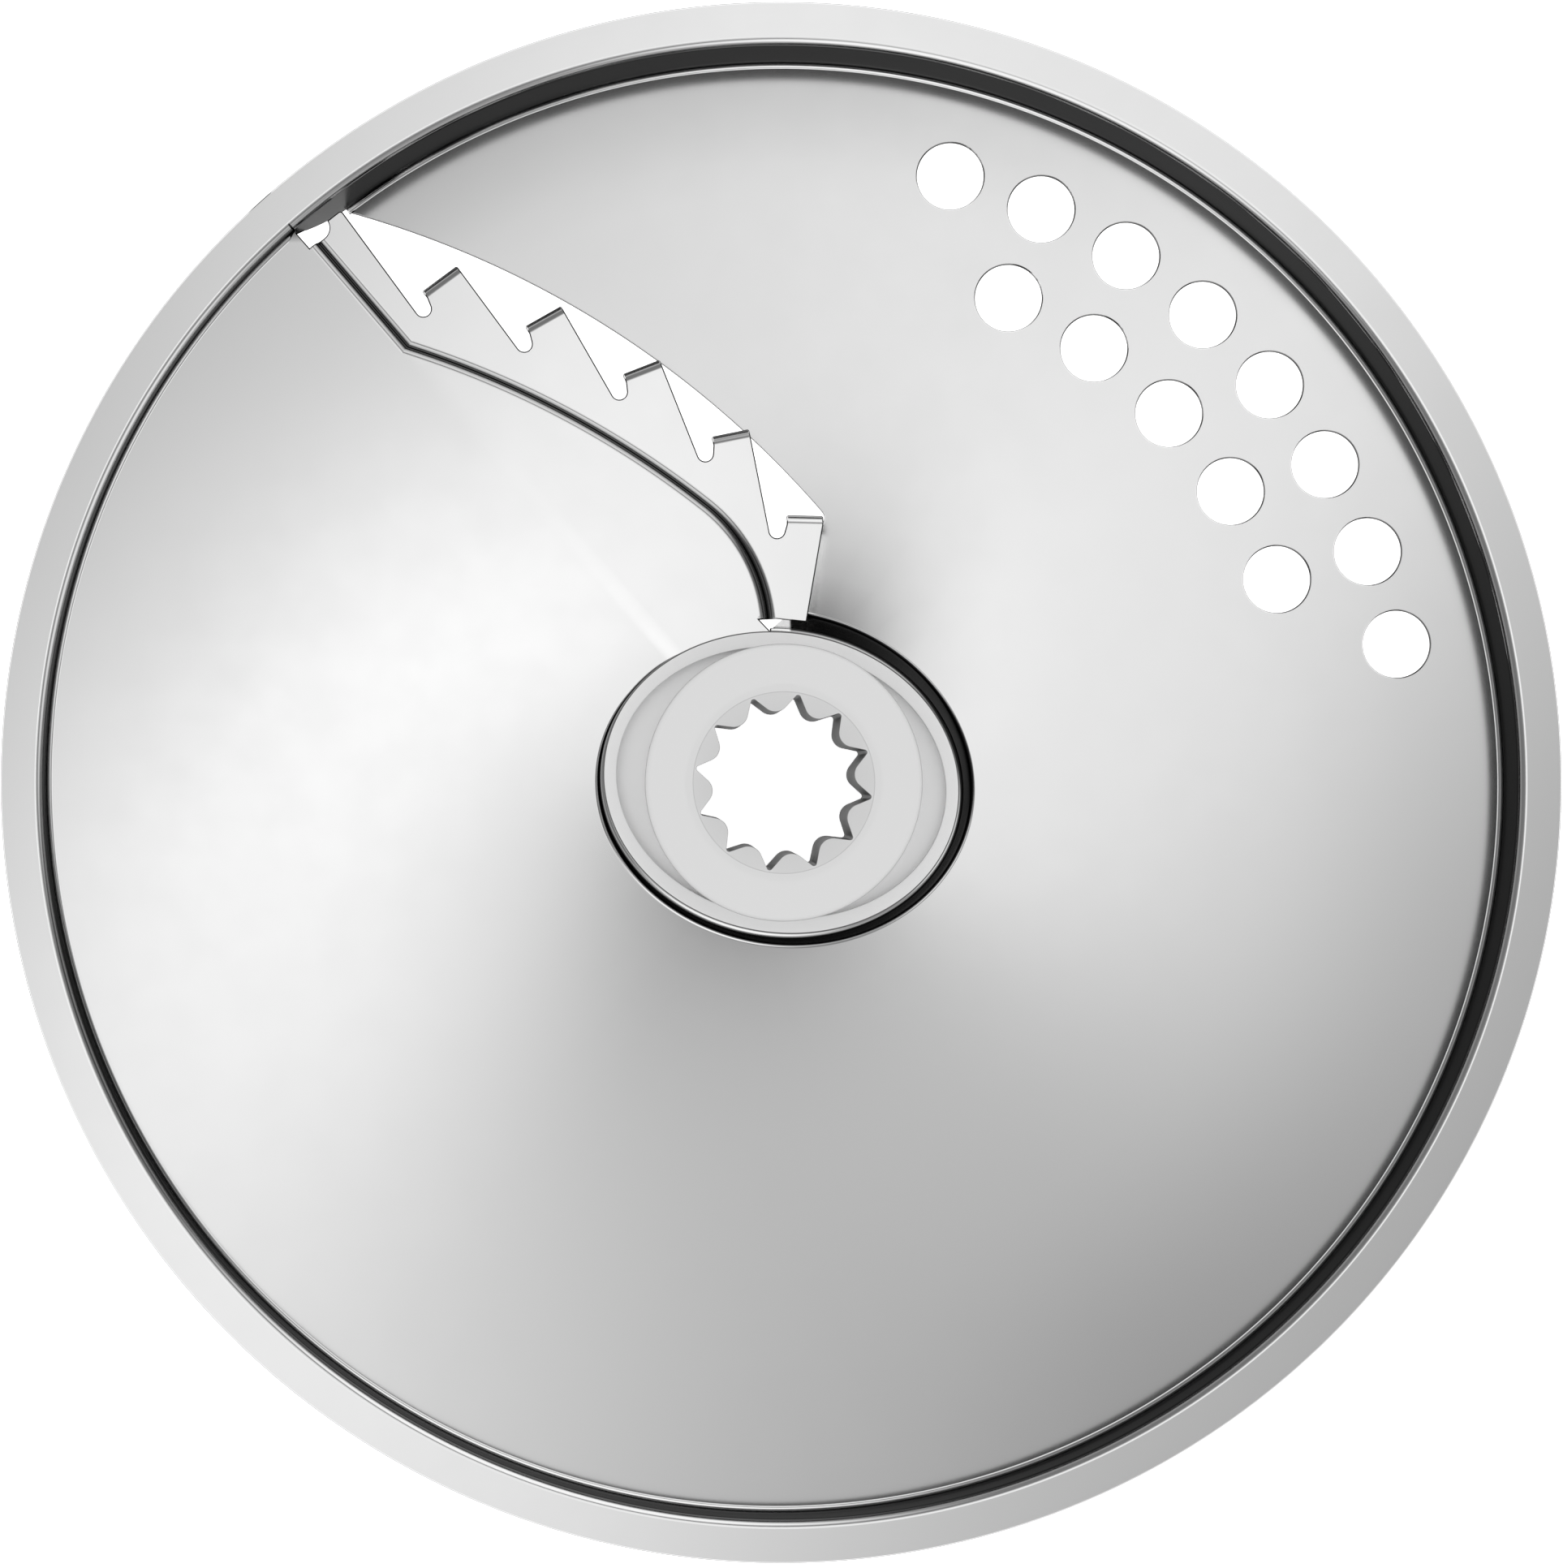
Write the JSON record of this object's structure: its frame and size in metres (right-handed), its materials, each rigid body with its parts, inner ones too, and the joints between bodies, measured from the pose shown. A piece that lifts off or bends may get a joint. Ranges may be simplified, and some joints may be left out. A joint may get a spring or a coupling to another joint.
{
  "type": "food processor disc",
  "caption": "Round stamped steel disc with a winding ramp, drain holes and a toothed blade with folded fins, on a plastic hub with a star drive socket; cuts food into sticks.",
  "frame": {"origin": "on the disc's axis, in the plane of the hub's foot", "axes": "+Z along the axis towards the upper side, where the food is fed; +X to the right and +Y up in the picture, which looks down on the upper side; the blade lies in the +Y, -X quarter"},
  "size_m": [0.135, 0.135, 0.0181],
  "materials": {
    "polished_steel": "polished stainless sheet, bright, with soft blurred reflections",
    "grey_plastic": "fine satin moulding, light grey"
  },
  "bodies": {
    "root": {"steel_disc": "polished_steel", "hub": "grey_plastic"}
  },
  "joints": []
}
